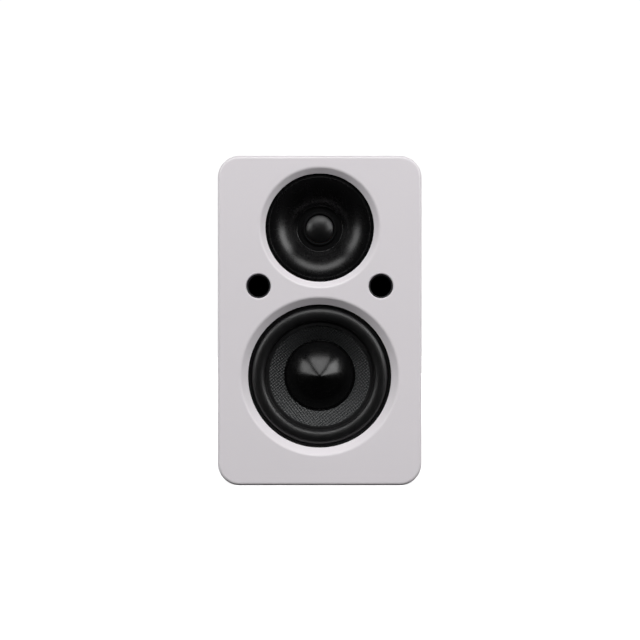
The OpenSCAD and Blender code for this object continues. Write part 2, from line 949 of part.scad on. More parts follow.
module board_screws() {
    color(steel)
        board_hole_places()
            translate([0, 0, board_top])
                screw(1.5, board[2] + spacer_h, 3, 1.8);
}

// Air-core coil for the woofer, lying flat
module woofer_inductor() {
    color("chocolate")
        translate([-28, board_y + 12, board_top])
            difference() {
                cylinder(r = 21, h = 20);
                translate([0, 0, -1])
                    cylinder(r = 9, h = 22);
            }
}

// Smaller coil for the tweeter, on its side so that the two don't couple
module tweeter_inductor() {
    coil_r = 14;
    color("chocolate")
        translate([34, board_y + 34, board_top + coil_r])
            rotate([90, 0, 0])
                difference() {
                    cylinder(r = coil_r, h = 12);
                    translate([0, 0, -1])
                        cylinder(r = 6, h = 14);
                }
}

module film_capacitors() {
    color("goldenrod")
        for (part = [[8, 34, board_y - 4], [9.5, 38, board_y - 25]])
            translate([28 - part[1] / 2, part[2], board_top + part[0]])
                rotate([0, 90, 0])
                    cylinder(r = part[0], h = part[1]);
}

module power_resistor() {
    color("white")
        translate([-50, board_y - 30, board_top])
            cube([46, 9.5, 9]);
}

// Insulated pairs, from the lugs to the board and from the board to each driver
module wire_pair(route) {
    for (side = [-1, 1])
        wire([for (p = route) [side * p[0], p[1], p[2]]], wire_r);
}

wire_end_z = board_top + 0.5;
wire_gap = 0.12;
module hook_up_wires() {
    post_x = post_spacing / 2;
    lug_y = rear_y + lug_z - lug_plate_t / 2;
    lug_end_z = terminal_z - lug_drop - wire_gap;
    woofer_tag_y = front_y + woofer_seat - strip_z + strip_t + tag_t / 2;
    woofer_tag_z = woofer_z - tag_end_r - wire_gap;
    tweeter_tag_y = front_y + tweeter_seat - tweeter_tag_mid + tag_t / 2 + wire_gap;
    tweeter_tag_z = tweeter_z - tweeter_tag_end + 2;
    color("dimgray") {
        wire_pair([[post_x, lug_y, lug_end_z], [post_x, lug_y, lug_end_z - 7], [10, 85, 37],
            [12, 75, 31], [12, 74, wire_end_z]]);
        wire_pair([[tag_x, woofer_tag_y, woofer_tag_z], [tag_x, woofer_tag_y, woofer_tag_z - 6],
            [5, -56, 31], [6, -35, 29], [6, -12, 31], [6, 1, 30], [6, 3, wire_end_z]]);
        wire_pair([[tag_x, tweeter_tag_y, tweeter_tag_z], [tag_x, tweeter_tag_y + 6, tweeter_tag_z - 1],
            [5, -83, 184], [6, -62, 173], [8, -36, 158], [10, -28, 120], [12, -26, 70],
            [14, -16, 38], [14, -2, 31], [14, -0.5, wire_end_z]]);
    }
}

// ---- rear terminals ----

module cup_screw_places() {
    for (sx = [-1, 1], sy = [-1, 1])
        translate([sx * 35.5, sy * 35.5, 0])
            children();
}

module post_places(sides = [-1, 1]) {
    for (side = sides)
        translate([side * post_spacing / 2, 0, 0])
            children();
}

module terminal_cup() {
    flange_w = 84;
    recess_w = cup_w - 2 * cup_wall;
    color(black)
        at_rear(terminal_z)
            difference() {
                union() {
                    linear_extrude(cup_flange_t)
                        rounded_rect(flange_w, flange_w, 8);
                    translate([-cup_w / 2, -cup_w / 2, cup_floor_z - cup_floor_t])
                        cube([cup_w, cup_w, cup_floor_t - cup_floor_z + 1]);
                }
                translate([0, 0, cup_floor_z])
                    linear_extrude(50)
                        rounded_rect(recess_w, recess_w, 5);
                post_places()
                    translate([0, 0, cup_floor_z - cup_floor_t - 1])
                        cylinder(r = post_r + shaft_run, h = cup_floor_t + 2);
                cup_screw_places() {
                    translate([0, 0, -1])
                        cylinder(r = 1.7, h = cup_flange_t + 2);
                    translate([0, 0, cup_flange_t - 1.9])
                        cylinder(r1 = 1.7, r2 = 3.6, h = 1.9);
                }
            }
}

module terminal_cup_screws() {
    color(black)
        at_rear(terminal_z)
            cup_screw_places()
                translate([0, 0, cup_flange_t])
                    screw(1.6, 13, 3.4, 1.8, countersunk = true);
}

// Plated shafts, each with a plug socket in its end and a cross hole for bare wire
module post_shafts() {
    tail_z = cup_floor_z - cup_floor_t - 14;
    color("gold")
        at_rear(terminal_z)
            post_places()
                difference() {
                    translate([0, 0, tail_z])
                        cylinder(r = post_r, h = post_end_z - tail_z);
                    translate([0, 0, post_end_z - socket_depth])
                        cylinder(r = socket_r, h = socket_depth + 1);
                    translate([0, 0, post_end_z - socket_depth - 2])
                        rotate([90, 0, 0])
                            cylinder(r = 1.1, h = 4 * post_r, center = true);
                }
}

module post_nuts() {
    color(brass)
        at_rear(terminal_z)
            post_places()
                translate([0, 0, cup_floor_z - cup_floor_t - nut_t])
                    difference() {
                        cylinder(r = 5.8, h = nut_t, $fn = 6);
                        translate([0, 0, -1])
                            cylinder(r = post_r + shaft_run, h = nut_t + 2);
                    }
}

lug_drop = 16;
lug_plate_t = 0.8;
lug_z = cup_floor_z - cup_floor_t - nut_t;
module solder_lugs() {
    color("silver")
        at_rear(terminal_z)
            post_places()
                translate([0, 0, lug_z - lug_plate_t])
                    difference() {
                        union() {
                            cylinder(r = 5.2, h = lug_plate_t);
                            translate([-2, 0, 0])
                                cube([4, lug_drop, lug_plate_t]);
                        }
                        translate([0, 0, -1])
                            cylinder(r = post_r + shaft_run, h = lug_plate_t + 2);
                    }
}

module post_base(side, hue) {
    color(hue)
        at_rear(terminal_z)
            post_places([side])
                ring(base_r, post_r + shaft_run, cup_floor_z + base_h, base_h);
}

module post_washer(side) {
    color("gold")
        at_rear(terminal_z)
            post_places([side])
                ring(base_r - 1, post_r + shaft_run, washer_z + washer_t, washer_t);
}

module post_insert(side) {
    color(brass)
        at_rear(terminal_z)
            post_places([side])
                ring(insert_r, post_r + shaft_run, insert_end_z, insert_end_z - insert_z);
}

// Cap with grip flutes, moulded over its threaded insert
module post_cap(side, hue) {
    flutes = 12;
    flute_r = 1.1;
    length = cap_end_z - insert_z;
    color(hue)
        at_rear(terminal_z)
            post_places([side])
                translate([0, 0, insert_z])
                    difference() {
                        union() {
                            cylinder(r = base_r, h = length - 1);
                            translate([0, 0, length - 1])
                                cylinder(r1 = base_r, r2 = base_r - 0.8, h = 1);
                        }
                        translate([0, 0, -1])
                            cylinder(r = insert_r, h = insert_end_z - insert_z + 1);
                        cylinder(r = post_r + 0.1, h = length + 1);
                        for (i = [0:flutes - 1])
                            rotate([0, 0, i * 360 / flutes])
                                translate([base_r + 0.5, 0, 2])
                                    cylinder(r = flute_r, h = length);
                    }
}

red = [0.7, 0.05, 0.06];
module red_post_base() post_base(1, red);
module red_post_washer() post_washer(1);
module red_post_insert() post_insert(1);
module red_post_cap() post_cap(1, red);
module black_post_base() post_base(-1, black);
module black_post_washer() post_washer(-1);
module black_post_insert() post_insert(-1);
module black_post_cap() post_cap(-1, black);

front_baffle();
left_panel();
right_panel();
top_panel();
bottom_panel();
rear_panel();
rear_battens();
rear_panel_screws();
shelf_brace();
port_tube_left();
port_tube_right();
damping_pads();
woofer_frame();
woofer_gasket();
woofer_surround();
woofer_cone();
woofer_dust_cap();
woofer_coil_former();
woofer_voice_coil();
woofer_spider();
woofer_top_plate();
woofer_magnet();
woofer_pole_yoke();
woofer_terminals();
woofer_tinsel_leads();
driver_screws();
tweeter_waveguide();
tweeter_gasket();
tweeter_surround();
tweeter_dome();
tweeter_coil_former();
tweeter_voice_coil();
tweeter_mounting_ring();
tweeter_top_plate();
tweeter_magnet();
tweeter_pole_yoke();
tweeter_rear_cup();
tweeter_terminals();
tweeter_motor_screws();
crossover_board();
board_spacers();
board_screws();
woofer_inductor();
tweeter_inductor();
film_capacitors();
power_resistor();
hook_up_wires();
terminal_cup();
terminal_cup_screws();
post_shafts();
post_nuts();
solder_lugs();
red_post_base();
red_post_washer();
red_post_insert();
red_post_cap();
black_post_base();
black_post_washer();
black_post_insert();
black_post_cap();
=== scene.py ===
import json
import math

import bpy
import numpy as np
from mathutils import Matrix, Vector, noise


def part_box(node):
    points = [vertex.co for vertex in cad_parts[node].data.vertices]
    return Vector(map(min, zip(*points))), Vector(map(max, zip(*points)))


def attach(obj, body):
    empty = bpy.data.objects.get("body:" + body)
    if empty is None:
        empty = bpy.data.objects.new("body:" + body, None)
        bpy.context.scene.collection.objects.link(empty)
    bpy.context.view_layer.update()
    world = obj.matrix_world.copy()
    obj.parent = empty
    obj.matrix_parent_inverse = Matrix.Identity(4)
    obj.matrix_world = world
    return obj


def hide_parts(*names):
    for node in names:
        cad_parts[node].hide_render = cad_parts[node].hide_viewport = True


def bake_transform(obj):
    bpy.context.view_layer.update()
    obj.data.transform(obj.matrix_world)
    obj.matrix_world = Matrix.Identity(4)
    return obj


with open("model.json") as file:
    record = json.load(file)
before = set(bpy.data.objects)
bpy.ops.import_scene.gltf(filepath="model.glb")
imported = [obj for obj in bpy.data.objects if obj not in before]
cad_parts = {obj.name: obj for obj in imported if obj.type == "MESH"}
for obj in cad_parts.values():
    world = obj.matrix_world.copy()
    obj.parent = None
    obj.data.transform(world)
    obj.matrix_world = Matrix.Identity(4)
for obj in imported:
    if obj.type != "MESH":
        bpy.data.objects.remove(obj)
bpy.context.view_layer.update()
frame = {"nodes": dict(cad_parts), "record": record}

# ---- where things are: read from the CAD nodes, in metres ----

baffle_low, baffle_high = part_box("front_baffle")
panel_low, panel_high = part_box("left_panel")
half_w, body_h = baffle_high.x, baffle_high.z
front_y, joint_y, rear_y = baffle_low.y, baffle_high.y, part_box("rear_panel")[1].y
corner_r, panel_t = 0.020, panel_high.x - panel_low.x


def seat_of(gasket):
    """Middle of a driver, with y on its seat. Heights on its axis count outwards from there."""
    low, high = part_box(gasket)
    return Vector(((low.x + high.x) / 2, low.y, (low.z + high.z) / 2))


woofer = seat_of("woofer_gasket")
tweeter = seat_of("tweeter_gasket")


# ---- mesh helpers ----

def make_object(name, points, faces, sharp_deg=32):
    """A smooth mesh object that keeps edges over sharp_deg crisp."""
    mesh = bpy.data.meshes.new(name)
    mesh.from_pydata(points, [], faces)
    mesh.validate()
    mesh.shade_smooth()
    mesh.set_sharp_from_angle(angle=math.radians(sharp_deg))
    obj = bpy.data.objects.new(name, mesh)
    bpy.context.scene.collection.objects.link(obj)
    return obj


def turned(sections, seat, steps=192):
    """Points and faces of closed sections turned about a driver's axis.

    A section is (radius, height) points in mm, in order, with the material on the right of its path."""
    points, faces = [], []
    angles = [2 * math.pi * k / steps for k in range(steps)]
    for section in sections:
        rings = []
        for r, h in section:
            first = len(points)
            if r < 1e-6:
                points.append((seat.x, seat.y - h / 1000, seat.z))
                rings.append([first] * steps)
            else:
                points += [
                    (seat.x + r / 1000 * math.cos(a), seat.y - h / 1000, seat.z + r / 1000 * math.sin(a))
                    for a in angles
                ]
                rings.append(list(range(first, first + steps)))
        for a, b in zip(rings, rings[1:] + rings[:1]):
            for k in range(steps):
                n = (k + 1) % steps
                corner = [a[k], a[n], b[n], b[k]]
                face = [v for i, v in enumerate(corner) if v != corner[i - 1]]
                if len(face) > 2:
                    faces.append(face)
    return points, faces


def ellipse_arc(cx, cy, rx, ry, a0, a1, steps):
    """Points on part of an ellipse, angles in degrees, both ends included."""
    return [
        (cx + rx * math.cos(math.radians(a0 + (a1 - a0) * i / steps)),
         cy + ry * math.sin(math.radians(a0 + (a1 - a0) * i / steps)))
        for i in range(steps + 1)
    ]


def arc(cx, cy, r, a0, a1, steps):
    return ellipse_arc(cx, cy, r, r, a0, a1, steps)


def joined(parts):
    """One list of points and one of faces from several."""
    points, faces = [], []
    for p, f in parts:
        faces += [[v + len(points) for v in face] for face in f]
        points += p
    return points, faces


def smooth_path(points, per_span=8):
    """Points on a smooth curve through the given ones."""
    p = [Vector(q) for q in points]
    last = len(p) - 1
    out = []
    for i in range(last):
        a, b, c, d = p[max(i - 1, 0)], p[i], p[i + 1], p[min(i + 2, last)]
        for k in range(per_span):
            t = k / per_span
            out.append(0.5 * (2 * b + (c - a) * t + (2 * a - 5 * b + 4 * c - d) * t * t
                              + (3 * b - a - 3 * c + d) * t ** 3))
    return out + [p[last]]


def tube(path, radius, sides):
    """Points and faces of a round tube with closed ends, along a path."""
    points, faces = [], []
    side = Vector((1, 0, 0))
    for i, p in enumerate(path):
        along = (path[min(i + 1, len(path) - 1)] - path[max(i - 1, 0)]).normalized()
        side = (side - side.dot(along) * along).normalized()
        up = along.cross(side)
        for j in range(sides):
            a = 2 * math.pi * j / sides
            points.append(tuple(p + radius * (math.cos(a) * side + math.sin(a) * up)))
    for i in range(len(path) - 1):
        for j in range(sides):
            k = (j + 1) % sides
            faces.append([i * sides + j, i * sides + k, (i + 1) * sides + k, (i + 1) * sides + j])
    faces.append(list(range(sides))[::-1])
    faces.append([(len(path) - 1) * sides + j for j in range(sides)])
    return points, faces


# ---- materials ----

class Shader:
    """A procedural material: its colour, roughness and bump come from textures in object space, in metres."""

    def __init__(self, name, **values):
        self.material = bpy.data.materials.new(name)
        self.material.use_nodes = True
        self.tree = self.material.node_tree
        self.bsdf = self.tree.nodes["Principled BSDF"]
        self.place = self.node("ShaderNodeTexCoord").outputs["Object"]
        for key, value in values.items():
            self.bsdf.inputs[key.replace("_", " ")].default_value = value

    def node(self, kind, **settings):
        made = self.tree.nodes.new(kind)
        for key, value in settings.items():
            setattr(made, key, value)
        return made

    def put(self, socket, value):
        if isinstance(value, bpy.types.NodeSocket):
            self.tree.links.new(value, socket)
        else:
            socket.default_value = value

    def math(self, operation, a, b=0.0):
        made = self.node("ShaderNodeMath", operation=operation)
        self.put(made.inputs[0], a)
        self.put(made.inputs[1], b)
        return made.outputs[0]

    def noise(self, scale, detail=3.0, stretch=(1, 1, 1)):
        sized = self.node("ShaderNodeMapping")
        self.put(sized.inputs["Vector"], self.place)
        sized.inputs["Scale"].default_value = stretch
        made = self.node("ShaderNodeTexNoise")
        self.put(made.inputs["Vector"], sized.outputs[0])
        made.inputs["Scale"].default_value = scale
        made.inputs["Detail"].default_value = detail
        return made.outputs["Fac"]

    def cells(self, scale):
        made = self.node("ShaderNodeTexVoronoi")
        self.put(made.inputs["Vector"], self.place)
        made.inputs["Scale"].default_value = scale
        return made.outputs["Distance"]

    def axis(self, name):
        made = self.node("ShaderNodeSeparateXYZ")
        self.put(made.inputs[0], self.place)
        return made.outputs[name]

    def between(self, factor, low, high):
        """low where factor is 0.3, high where it is 0.7: the range in which noise mostly lies."""
        made = self.node("ShaderNodeMapRange")
        self.put(made.inputs["Value"], factor)
        made.inputs["From Min"].default_value = 0.3
        made.inputs["From Max"].default_value = 0.7
        made.inputs["To Min"].default_value = low
        made.inputs["To Max"].default_value = high
        return made.outputs["Result"]

    def mixed(self, factor, a, b):
        """Colour a where factor is 0, b where it is 1."""
        made = self.node("ShaderNodeMix", data_type="RGBA")
        self.put(made.inputs[0], factor)
        made.inputs[6].default_value = (*a, 1)
        made.inputs[7].default_value = (*b, 1)
        return made.outputs[2]

    def bump(self, height, depth):
        made = self.node("ShaderNodeBump")
        made.inputs["Distance"].default_value = depth
        self.put(made.inputs["Height"], height)
        return made.outputs["Normal"]

    def set(self, colour=None, roughness=None, normal=None):
        for socket, value in (("Base Color", colour), ("Roughness", roughness), ("Normal", normal)):
            if value is not None:
                self.put(self.bsdf.inputs[socket], value)
        return self.material


def moulded(name, dark, light, rough, patch, grain, depth, **values):
    """Moulded, painted or plated surface: slow colour and gloss changes, and a fine grain."""
    s = Shader(name, **values)
    slow = s.noise(patch)
    return s.set(s.mixed(s.between(slow, 0, 1), dark, light),
                 s.between(s.noise(patch * 2.3), *rough),
                 s.bump(s.noise(grain, 2), depth))


def lacquer():
    """Satin paint with a faint orange peel and slight unevenness."""
    s = Shader("white_lacquer", Coat_Weight=0.25, Coat_Roughness=0.3, Specular_IOR_Level=0.5)
    tone = s.between(s.noise(6), 0, 1)
    peel = s.bump(s.noise(260, 1), 0.000012)
    s.put(s.bsdf.inputs["Coat Normal"], peel)
    return s.set(s.mixed(tone, (0.775, 0.742, 0.770), (0.800, 0.764, 0.794)),
                 s.between(s.noise(40), 0.30, 0.37), peel)


def weave(s, pitch, turn_deg):
    """Height of a plain weave seen along Y, with threads pitch apart."""
    x, z = s.axis("X"), s.axis("Z")
    c, k = math.cos(math.radians(turn_deg)) / pitch, math.sin(math.radians(turn_deg)) / pitch
    u = s.math("ADD", s.math("MULTIPLY", x, c), s.math("MULTIPLY", z, k))
    v = s.math("SUBTRACT", s.math("MULTIPLY", z, c), s.math("MULTIPLY", x, k))
    heights = []
    for across, along, start in ((u, v, 0.0), (v, u, 1.0)):
        thread = s.math("FLOOR", across)
        offset = s.math("SUBTRACT", s.math("SUBTRACT", across, thread), 0.5)
        round_top = s.math("SUBTRACT", 1.0, s.math("MULTIPLY", s.math("MULTIPLY", offset, offset), 3.2))
        turn = s.math("MULTIPLY", s.math("ADD", s.math("ADD", along, thread), start), math.pi)
        over = s.math("ADD", s.math("MULTIPLY", s.math("SINE", turn), 0.5), 0.5)
        heights.append(s.math("MULTIPLY", round_top, over))
    return s.math("MAXIMUM", heights[0], heights[1])


def woven(name, dark, light, rough, pitch, turn_deg, depth, **values):
    """Plain-woven cloth, its colour lighter on the tops of its threads and darker in the dips between them:
    painted shade and painted highlight in the weave.
    """
    s = Shader(name, **values)
    height = weave(s, pitch, turn_deg)
    # Seven tenths of the colour follows thread height (painted shade in the dips, painted highlight on the
    # tops); three tenths is random tone.
    tone = s.math("ADD", s.math("MULTIPLY", height, 0.7), s.math("MULTIPLY", s.noise(700), 0.3))
    return s.set(s.mixed(tone, dark, light), s.between(s.noise(150), *rough), s.bump(height, depth))


def windings(name, dark, light, pitch, axis, **values):
    """Enamelled wire wound in turns along one axis, its colour lighter on the tops of the turns and darker in
    the grooves: painted highlight and painted shade.
    """
    s = Shader(name, **values)
    turn = s.math("SINE", s.math("MULTIPLY", s.axis(axis), 2 * math.pi / pitch))
    height = s.math("ADD", s.math("MULTIPLY", turn, 0.5), 0.5)
    # The turn height sets both the bump and the colour: painted shade in the grooves, painted highlight on
    # the tops.
    return s.set(s.mixed(height, dark, light), s.between(s.noise(300), 0.28, 0.42), s.bump(height, pitch / 3))


def fibrous(name, dark, light, rough, scale, depth, stretch=(1, 1, 1), **values):
    """Pressed fibres: board, felt, cloth."""
    s = Shader(name, **values)
    fine = s.noise(scale, 6, stretch)
    return s.set(s.mixed(s.between(fine, 0, 1), dark, light),
                 s.between(s.noise(60), *rough),
                 s.bump(fine, depth))


def cellular(name, dark, light, rough, scale, depth, **values):
    """Leather-grained moulding or foam."""
    s = Shader(name, **values)
    cell = s.cells(scale)
    return s.set(s.mixed(cell, dark, light), s.between(s.noise(45), *rough), s.bump(cell, depth))


def turned_metal(name, dark, light, rough, seat, **values):
    """Turned metal, with fine rings about a driver's axis."""
    s = Shader(name, Metallic=1.0, **values)
    dx = s.math("SUBTRACT", s.axis("X"), seat.x)
    dz = s.math("SUBTRACT", s.axis("Z"), seat.z)
    radius = s.math("SQRT", s.math("ADD", s.math("MULTIPLY", dx, dx), s.math("MULTIPLY", dz, dz)))
    rings = s.math("SINE", s.math("MULTIPLY", radius, 2 * math.pi / 0.0004))
    return s.set(s.mixed(s.between(s.noise(40), 0, 1), dark, light), s.between(s.noise(120), *rough),
                 s.bump(rings, 0.000004))


def circuit_board():
    s = Shader("board_laminate", Coat_Weight=0.5, Coat_Roughness=0.1)
    lanes = s.math("SINE", s.math("MULTIPLY", s.axis("X"), 2 * math.pi / 0.011))
    track = s.math("GREATER_THAN", s.math("ADD", lanes, s.math("MULTIPLY", s.noise(35), 1.2)), 0.9)
    return s.set(s.mixed(track, (0.02, 0.13, 0.05), (0.05, 0.24, 0.09)), s.between(s.noise(90), 0.3, 0.4),
                 s.bump(track, 0.00004))


deep_black = (0.0014, 0.0014, 0.0015), (0.0024, 0.0024, 0.0026)

materials = {
    "white_lacquer": lacquer(),
    "black_lacquer": cellular("black_lacquer", (0.022, 0.022, 0.024), (0.034, 0.034, 0.036), (0.5, 0.62),
                              1400, 0.00002),
    "raw_board": fibrous("raw_board", (0.36, 0.25, 0.15), (0.56, 0.43, 0.29), (0.78, 0.9), 900, 0.00005,
                         (1, 4, 1)),
    "black_screw": moulded("black_screw", (0.02, 0.02, 0.022), (0.05, 0.05, 0.052), (0.3, 0.45), 300, 2500,
                           0.00001, Metallic=0.6),
    "port_plastic": cellular("port_plastic", (0.010, 0.010, 0.012), (0.020, 0.020, 0.022), (0.42, 0.52),
                             1800, 0.00002),
    "felt": fibrous("felt", (0.10, 0.10, 0.11), (0.32, 0.32, 0.34), (0.9, 1.0), 1400, 0.0006, (1, 3, 1),
                    Sheen_Weight=0.6),
    "cast_frame": cellular("cast_frame", (0.014, 0.014, 0.016), (0.032, 0.032, 0.034), (0.45, 0.6), 1500,
                           0.00003),
    "foam": cellular("foam", (0.008, 0.008, 0.009), (0.03, 0.03, 0.032), (0.8, 0.95), 1600, 0.0001),
    "surround_rubber": moulded("surround_rubber", (0.0022, 0.0022, 0.0024), (0.0040, 0.0040, 0.0043),
                               (0.38, 0.44), 60, 1500, 0.000012, Specular_IOR_Level=0.8),
    "woven_fibre": woven("woven_fibre", (0.001, 0.001, 0.0011), (0.040, 0.042, 0.043), (0.36, 0.46), 0.0022,
                         38, 0.0007, Specular_IOR_Level=0.9),
    "cap_plastic": moulded("cap_plastic", *deep_black, (0.21, 0.26), 80, 900, 0.000004),
    "amber_film": fibrous("amber_film", (0.42, 0.19, 0.03), (0.60, 0.31, 0.07), (0.25, 0.35), 400, 0.00001),
    "copper": windings("copper", (0.30, 0.10, 0.04), (0.78, 0.36, 0.18), 0.0009, "Y", Metallic=0.9),
    "spider_cloth": woven("spider_cloth", (0.30, 0.20, 0.05), (0.66, 0.50, 0.20), (0.7, 0.85), 0.0009, 0,
                          0.0001),
    "plated_steel": moulded("plated_steel", (0.50, 0.50, 0.51), (0.66, 0.66, 0.68), (0.26, 0.40), 120, 1800,
                            0.000006, Metallic=1.0),
    "ferrite": fibrous("ferrite", (0.05, 0.05, 0.055), (0.12, 0.12, 0.125), (0.5, 0.65), 1200, 0.00003),
    "brown_fibre": fibrous("brown_fibre", (0.18, 0.08, 0.03), (0.34, 0.17, 0.08), (0.5, 0.65), 1100,
                           0.00002),
    "horn_plastic": moulded("horn_plastic", *deep_black, (0.26, 0.28), 70, 1400, 0.000002),
    "dome_rubber": moulded("dome_rubber", *deep_black, (0.62, 0.72), 200, 2500, 0.00002,
                           Specular_IOR_Level=0.12),
    "dome_cloth": woven("dome_cloth", (0.0020, 0.0020, 0.0022), (0.0045, 0.0045, 0.0048), (0.34, 0.40),
                        0.0003, 0, 0.00001, Specular_IOR_Level=0.75),
    "aluminium": moulded("aluminium", (0.62, 0.62, 0.63), (0.78, 0.78, 0.79), (0.25, 0.35), 150, 2000,
                         0.000004, Metallic=1.0),
    "brass": moulded("brass", (0.62, 0.44, 0.16), (0.80, 0.63, 0.30), (0.22, 0.36), 150, 1800, 0.000006,
                     Metallic=1.0),
    "board_laminate": circuit_board(),
    "nylon": moulded("nylon", (0.70, 0.68, 0.60), (0.82, 0.80, 0.73), (0.42, 0.52), 200, 1500, 0.00001,
                     Subsurface_Weight=0.15),
    "capacitor_film": fibrous("capacitor_film", (0.52, 0.36, 0.06), (0.72, 0.56, 0.16), (0.25, 0.35), 250,
                              0.00002, (1, 12, 12)),
    "ceramic": fibrous("ceramic", (0.66, 0.64, 0.58), (0.84, 0.82, 0.77), (0.75, 0.88), 700, 0.00006),
    "wire_jacket": moulded("wire_jacket", (0.05, 0.05, 0.055), (0.09, 0.09, 0.095), (0.38, 0.5), 200, 1600,
                           0.00001),
    "terminal_plastic": cellular("terminal_plastic", (0.012, 0.012, 0.014), (0.026, 0.026, 0.028),
                                 (0.42, 0.54), 1700, 0.00003),
    "gold_plate": moulded("gold_plate", (0.78, 0.55, 0.20), (0.92, 0.70, 0.30), (0.14, 0.24), 200, 1800,
                          0.000004, Metallic=1.0),
    "red_plastic": moulded("red_plastic", (0.42, 0.012, 0.016), (0.58, 0.024, 0.03), (0.2, 0.32), 180, 1400,
                           0.000008),
    "black_plastic": moulded("black_plastic", (0.012, 0.012, 0.013), (0.022, 0.022, 0.024), (0.22, 0.34),
                             180, 1400, 0.000008),
}
throat_edge = moulded("throat_edge", (0.003, 0.003, 0.0032), (0.005, 0.005, 0.0053), (0.20, 0.26), 200,
                      1400, 0.000004, Specular_IOR_Level=1.0)
lead_braid = windings("lead_braid", (0.35, 0.16, 0.07), (0.85, 0.48, 0.26), 0.0007, "Y", Metallic=0.9)
red_jacket = moulded("red_jacket", (0.36, 0.014, 0.016), (0.50, 0.03, 0.03), (0.38, 0.5), 200, 1600, 0.00001)
woofer_steel = turned_metal("woofer_steel", (0.48, 0.48, 0.49), (0.64, 0.64, 0.66), (0.28, 0.42), woofer)
tweeter_steel = turned_metal("tweeter_steel", (0.48, 0.48, 0.49), (0.64, 0.64, 0.66), (0.28, 0.42), tweeter)

for row in frame["record"]["subparts"]:
    for held in frame["nodes"][row["node"]].material_slots:
        held.material = materials[row["material_slot"]]
for node, made in (("woofer_top_plate", woofer_steel), ("woofer_pole_yoke", woofer_steel),
                   ("tweeter_top_plate", tweeter_steel), ("tweeter_pole_yoke", tweeter_steel)):
    frame["nodes"][node].material_slots[0].material = made


def finish_piece(obj, slot, *nodes, material=None):
    obj.data.materials.append(material or materials[slot])
    if nodes:
        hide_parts(*nodes)
    return obj


def flex(obj):
    """Bakes obj's placement into its mesh; nothing here ties it to the cabinet or to a moving body."""
    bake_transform(obj)


# ---- cabinet wrap: each panel with a rounded rear edge, mitred in the middle of its corners ----

def wrap_outline(steps=12):
    """Each outer point round the wrap with its outward direction and inner corner, and the steps in a corner.

    The points run anticlockwise from the foot of the lower right corner."""
    outline = []
    for q, (cx, cz) in enumerate(((half_w, 0), (half_w, 1), (-half_w, 1), (-half_w, 0))):
        centre = (cx - math.copysign(corner_r, cx), corner_r if cz == 0 else body_h - corner_r)
        inner = (cx - math.copysign(panel_t, cx), panel_t if cz == 0 else body_h - panel_t)
        for i in range(steps + 1):
            a = math.radians(-90 + 90 * q + 90 * i / steps)
            out = (math.cos(a), math.sin(a))
            outline.append(((centre[0] + corner_r * out[0], centre[1] + corner_r * out[1]), out, inner))
    return outline, steps


def wrap_panels():
    outline, steps = wrap_outline()
    count, per_corner, edge = len(outline), steps + 1, 0.0015
    stations = [(joint_y, 0.0)] + [
        (rear_y - edge + edge * math.sin(math.radians(a)), edge * (1 - math.cos(math.radians(a))))
        for a in range(0, 91, 15)
    ]
    for side, name in enumerate(("right", "top", "left", "bottom")):
        first = side * per_corner + steps // 2
        run = [outline[(first + i) % count] for i in range(per_corner + 1)]
        points, faces = [], []
        for y, inset in stations:
            points += [(p[0] - o[0] * inset, y, p[1] - o[1] * inset) for p, o, _ in run]
        wide = len(run)
        for s in range(len(stations) - 1):
            for i in range(wide - 1):
                a = s * wide + i
                faces.append([a, a + wide, a + wide + 1, a + 1])
        inner = len(points)
        for y in (rear_y, joint_y):
            points += [(run[0][2][0], y, run[0][2][1]), (run[-1][2][0], y, run[-1][2][1])]
        back = (len(stations) - 1) * wide
        faces.append(list(range(back + wide - 1, back - 1, -1)) + [inner, inner + 1])
        faces.append(list(range(wide)) + [inner + 3, inner + 2])
        faces.append([inner + 1, inner, inner + 2, inner + 3])
        faces.append([s * wide for s in range(len(stations) - 1, -1, -1)] + [inner + 2, inner])
        faces.append([s * wide + wide - 1 for s in range(len(stations))] + [inner + 1, inner + 3])
        obj = finish_piece(make_object(name + "_wrap", points, faces), "white_lacquer", name + "_panel")
        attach(obj, "cabinet")


wrap_panels()


# ---- woofer: heights in mm from its seat, as in the CAD source ----

top, rim = -2.0, -2.6  # upper and lower face of the surround's flanges
roll_mid, roll_r, roll_h, rubber_t = 55.9, 6.6, 4.8, 0.6
flange_in_r, flange_out_r = 46.0, 72.2
cone_r, neck_r, cone_flange_r = 47.0, 13.2, 49.0
cone_depth, cone_curve, cone_t = 30.0, 1.08, 0.8
cap_r, cap_h, cap_t = 31.3, 21.5, 0.7
cap_straight, cap_curved, cap_power = 0.68, 0.32, 3.5  # shares of the cap's drop, and how late it curves
tip_blunt = 0.8  # in square mm
bead_r, bead_wire_r = 32.0, 0.62


def cone_height(r):
    return rim - cone_depth * ((cone_r - r) / (cone_r - neck_r)) ** cone_curve if r < cone_r else rim


surround_section = (
    [(flange_out_r, rim), (flange_out_r, top)]
    + [(63.4, top), (62.9, top + 0.08)]
    + ellipse_arc(roll_mid, top, roll_r, roll_h, 10, 170, 44)
    + [(48.9, top + 0.02), (48.5, top), (flange_in_r + 0.5, top), (flange_in_r + 0.15, top - 0.1),
       (flange_in_r, top - 0.35), (flange_in_r, rim)]
    + [(roll_mid - roll_r + rubber_t, rim)]
    + ellipse_arc(roll_mid, top, roll_r - rubber_t, roll_h - rubber_t, 174, 6, 36)
    + [(roll_mid + roll_r - rubber_t, rim)]
)
surround = make_object("woofer_surround_roll", *turned([surround_section], woofer, 256))
finish_piece(surround, "surround_rubber", "woofer_surround")
flex(surround)

cone_radii = [cone_r + (neck_r - cone_r) * i / 48 for i in range(49)]
cone_front = [(cone_flange_r, rim)] + [(r, cone_height(r)) for r in cone_radii]
cone_section = cone_front + [(r, h - cone_t) for r, h in reversed(cone_front)]
cone = make_object("woofer_cone_woven", *turned([cone_section], woofer, 256))
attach(finish_piece(cone, "woven_fibre", "woofer_cone"), "woofer_motion")


